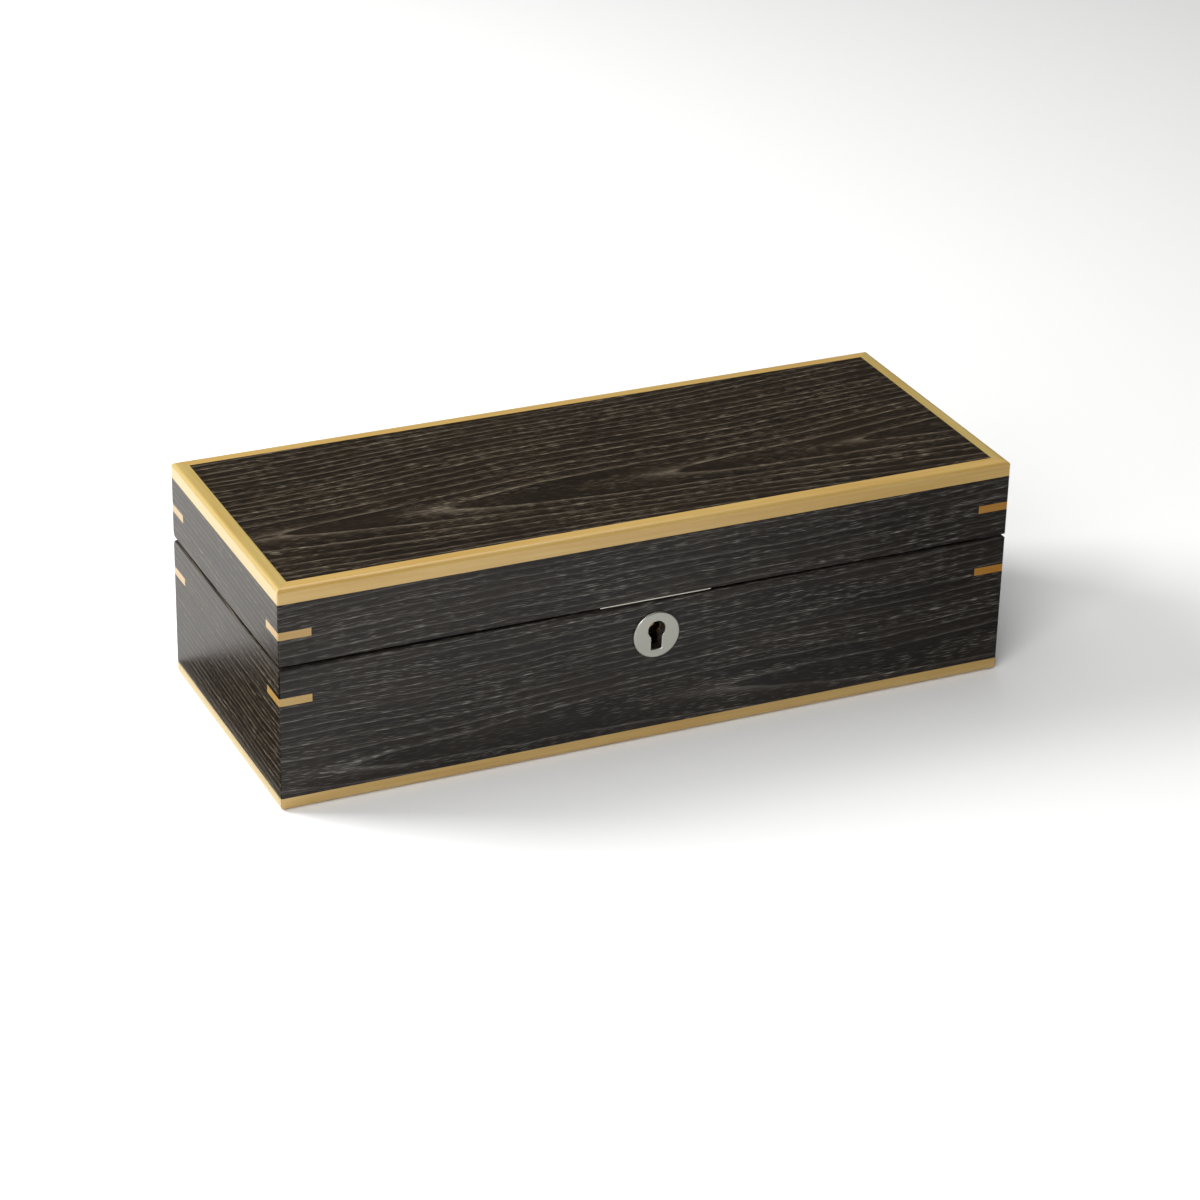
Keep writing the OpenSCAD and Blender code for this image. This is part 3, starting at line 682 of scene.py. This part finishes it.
nickel_plate = plated("nickel_plated_steel", "#D2CDC4", "#BDB7AC", 0.27, 5.0)
for node, body in (("hinge_left_base_leaf", "base"), ("hinge_right_base_leaf", "base"),
                   ("hinge_left_pin", "base"), ("hinge_right_pin", "base"), ("hinge_base_screws", "base"),
                   ("hinge_left_lid_leaf", "lid"), ("hinge_right_lid_leaf", "lid"),
                   ("hinge_lid_screws", "lid")):
    dressed_copy(node, body, nickel_plate, 0.12 * MM)


# ---- Lock ----
# A link-plate lock let into the front wall: a brass case, nickel-plated back and face plates, a brass
# drill pin for the hollow key, and a sliding brass bolt under its bowed spring. To the eye: a dark
# hole with a few warm glints behind the escutcheon.
turned_brass = plated("brass", "#D9B25C", "#C1933A", 0.3, 23.0)
for node in ("lock_back_plate", "lock_case_screws", "lock_face_plate", "lock_face_screws"):
    dressed_copy(node, "base", nickel_plate, 0.15 * MM)
dressed_copy("lock_case", "base", turned_brass, 0.15 * MM)
dressed_copy("lock_drill_pin", "base", turned_brass, 0.2 * MM)
dressed_copy("lock_bolt", "bolt", turned_brass, 0.12 * MM)
dressed_copy("lock_bolt_spring", "bolt", turned_brass, 0.05 * MM)


# ---- Escutcheon ----
# A turned disc in satin nickel, glued over the keyhole, its outer arris rounded and the keyhole's
# edge eased. To the eye: a soft grey face with faint turning marks round the centre and a bright rim.
escutcheon_low, escutcheon_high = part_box("escutcheon")
escutcheon_middle = (escutcheon_low + escutcheon_high) / 2
satin_nickel = new_material("satin_nickel")
disc_coords = add_node(satin_nickel, "ShaderNodeTexCoord")
disc_place = add_node(satin_nickel, "ShaderNodeMapping",
                      {"Location": (0, 0, -escutcheon_middle.z * 1000), "Scale": (1000, 0, 1000)},
                      {"Vector": disc_coords.outputs["Object"]})
disc_radius = add_node(satin_nickel, "ShaderNodeVectorMath", {"operation": "LENGTH"},
                       {0: disc_place.outputs[0]})
turning = add_node(satin_nickel, "ShaderNodeTexNoise",
                   {"noise_dimensions": "1D", "Scale": 7.0, "Detail": 3},
                   {"W": disc_radius.outputs["Value"]})
turning_bump = add_node(satin_nickel, "ShaderNodeBump", {"Strength": 0.25, "Distance": 0.02 * MM},
                        {"Height": turning.outputs["Fac"]})
finish_material(satin_nickel, {"Metallic": 1.0, "Roughness": 0.36},
                {"Base Color": mix_colours(satin_nickel, turning.outputs["Fac"], "#B4B3AB", "#A5A49B"),
                 "Normal": turning_bump.outputs[0]})
dressed_copy("escutcheon", "base", satin_nickel, 0.4 * MM, segments=3)


# ---- Lid ----
# The lid's walls are made as the base's. The top panel is veneered board let in flush between
# mitred maple edging whose outer arris is rounded over.
lid_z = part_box("lid_front_wall")[0].z
lid_ring = cad_copy(*[f"lid_{side}_wall" for side in SIDES])
drop_mitres(lid_ring)
merge_flat(lid_ring)
round_edges(lid_ring, is_outer_at(lid_z, back=False), RIM_R, 3)
round_edges(lid_ring, is_corner, CORNER_R, 2)
four_boards(lid_ring, "lid", "_wall", "lid", oak_boards)
top_ring = edging_ring([f"lid_edging_{side}" for side in SIDES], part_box("lid_top_panel")[1].z)
four_boards(top_ring, "lid_edging", "", "lid", edging_woods)
corner_keys("lid_corner_keys", "lid")
dress_node("lid_top_panel", oak_top)


# ---- Linings of the lid ----
# A thin foam pad under the top and a band of the same microsuede round the walls above the liners.
# The pad is drawn tight at its edge and stands a little proud in the middle.
PAD_CUTS = 23
PAD_EDGE = 1.2 * MM
PAD_CROWN = 1.0 * MM
pad_low, pad_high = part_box("lid_pad")
pad_middle, pad_half = (pad_low + pad_high) / 2, (pad_high - pad_low) / 2
pad_place = Matrix.Translation(pad_middle) @ Matrix.Diagonal((*pad_half, 1))
pad_bm = bmesh.new()
bmesh.ops.create_cube(pad_bm, size=2, matrix=pad_place)
bmesh.ops.subdivide_edges(pad_bm, edges=pad_bm.edges, cuts=PAD_CUTS, use_grid_fill=True)
for v in pad_bm.verts:
    across_x = abs(v.co.x - pad_middle.x) / pad_half.x
    across_y = abs(v.co.y - pad_middle.y) / pad_half.y
    # the high powers keep the fall close to the pad's edge
    fall = 1 - (1 - across_x ** 16) * (1 - across_y ** 8)
    crown = (1 - across_x ** 2) * (1 - across_y ** 2)
    depth = (pad_high.z - v.co.z) / (pad_high.z - pad_low.z)
    v.co.z += depth * (fall * PAD_EDGE - crown * PAD_CROWN)
lid_pad = new_piece("lid_pad_piece", pad_bm, lining_suede, 180)
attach(lid_pad, "lid")
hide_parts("lid_pad")
band_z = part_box("lid_wall_linings")[0].z
dressed_copy("lid_wall_linings", "lid", lining_suede, 0.4 * MM, band_z, 3)


# ---- Keeper plate ----
# The lock's other half, half let into the lid's rim: a plate with two links for the bolt to catch.
# It stands a little proud, and its front edge shows as a bright line in the seam.
for node in ("keeper_plate", "keeper_screws"):
    dressed_copy(node, "lid", nickel_plate, 0.15 * MM)
